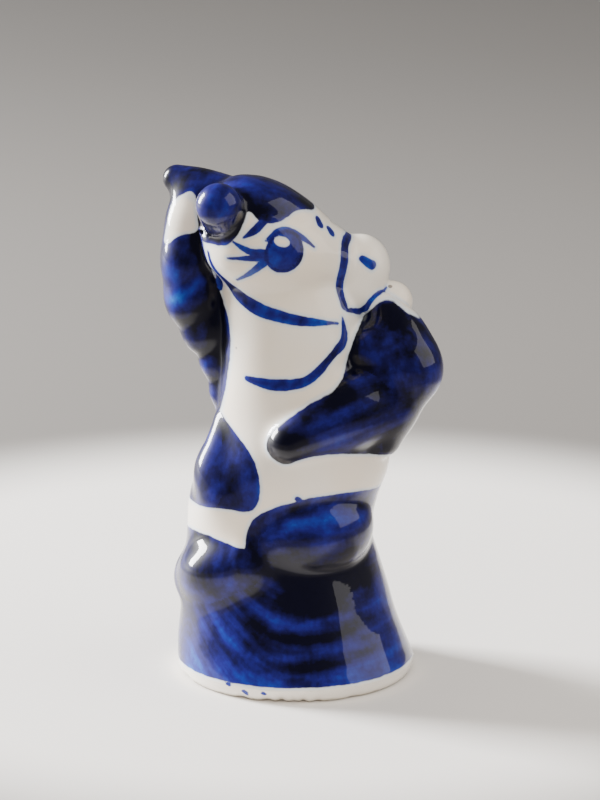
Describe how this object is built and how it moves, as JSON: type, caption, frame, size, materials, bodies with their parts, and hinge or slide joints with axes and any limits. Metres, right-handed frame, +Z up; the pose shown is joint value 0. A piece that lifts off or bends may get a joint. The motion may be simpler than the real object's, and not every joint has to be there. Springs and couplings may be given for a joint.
{
  "type": "souvenir figurine",
  "caption": "Hollow glazed porcelain figurine of a mare standing in a flared skirt, one hand on the belly and the head turned aside, with cobalt brush painting; stands on a flat bare foot.",
  "frame": {"origin": "middle of the flat foot, on the surface that the figurine stands on", "axes": "+Z up, -Y the way that the belly faces, +X the side that the muzzle points to"},
  "size_m": [0.036, 0.0295, 0.065],
  "materials": {
    "glaze_white": "clear gloss glaze over warm white porcelain",
    "glaze_cobalt": "clear gloss glaze over brushed cobalt, uneven in depth",
    "bisque": "matt unglazed biscuit"
  },
  "bodies": {
    "root": {"foot_disc": "bisque", "skirt_casting": "glaze_cobalt", "torso_casting": "glaze_white", "head_casting": "glaze_white", "muzzle": "glaze_white", "forelock": "glaze_cobalt", "near_ear": "glaze_cobalt", "far_ear": "glaze_cobalt", "mane_lock_1": "glaze_cobalt", "mane_lock_2": "glaze_cobalt", "mane_lock_3": "glaze_cobalt", "mane_lock_4": "glaze_cobalt", "mane_lock_5": "glaze_cobalt", "mane_lock_6": "glaze_cobalt", "near_forearm": "glaze_cobalt", "near_sleeve": "glaze_cobalt", "raised_hoof": "glaze_white", "far_arm": "glaze_cobalt", "near_thigh": "glaze_cobalt", "far_thigh": "glaze_cobalt", "tail": "glaze_cobalt"}
  },
  "joints": []
}
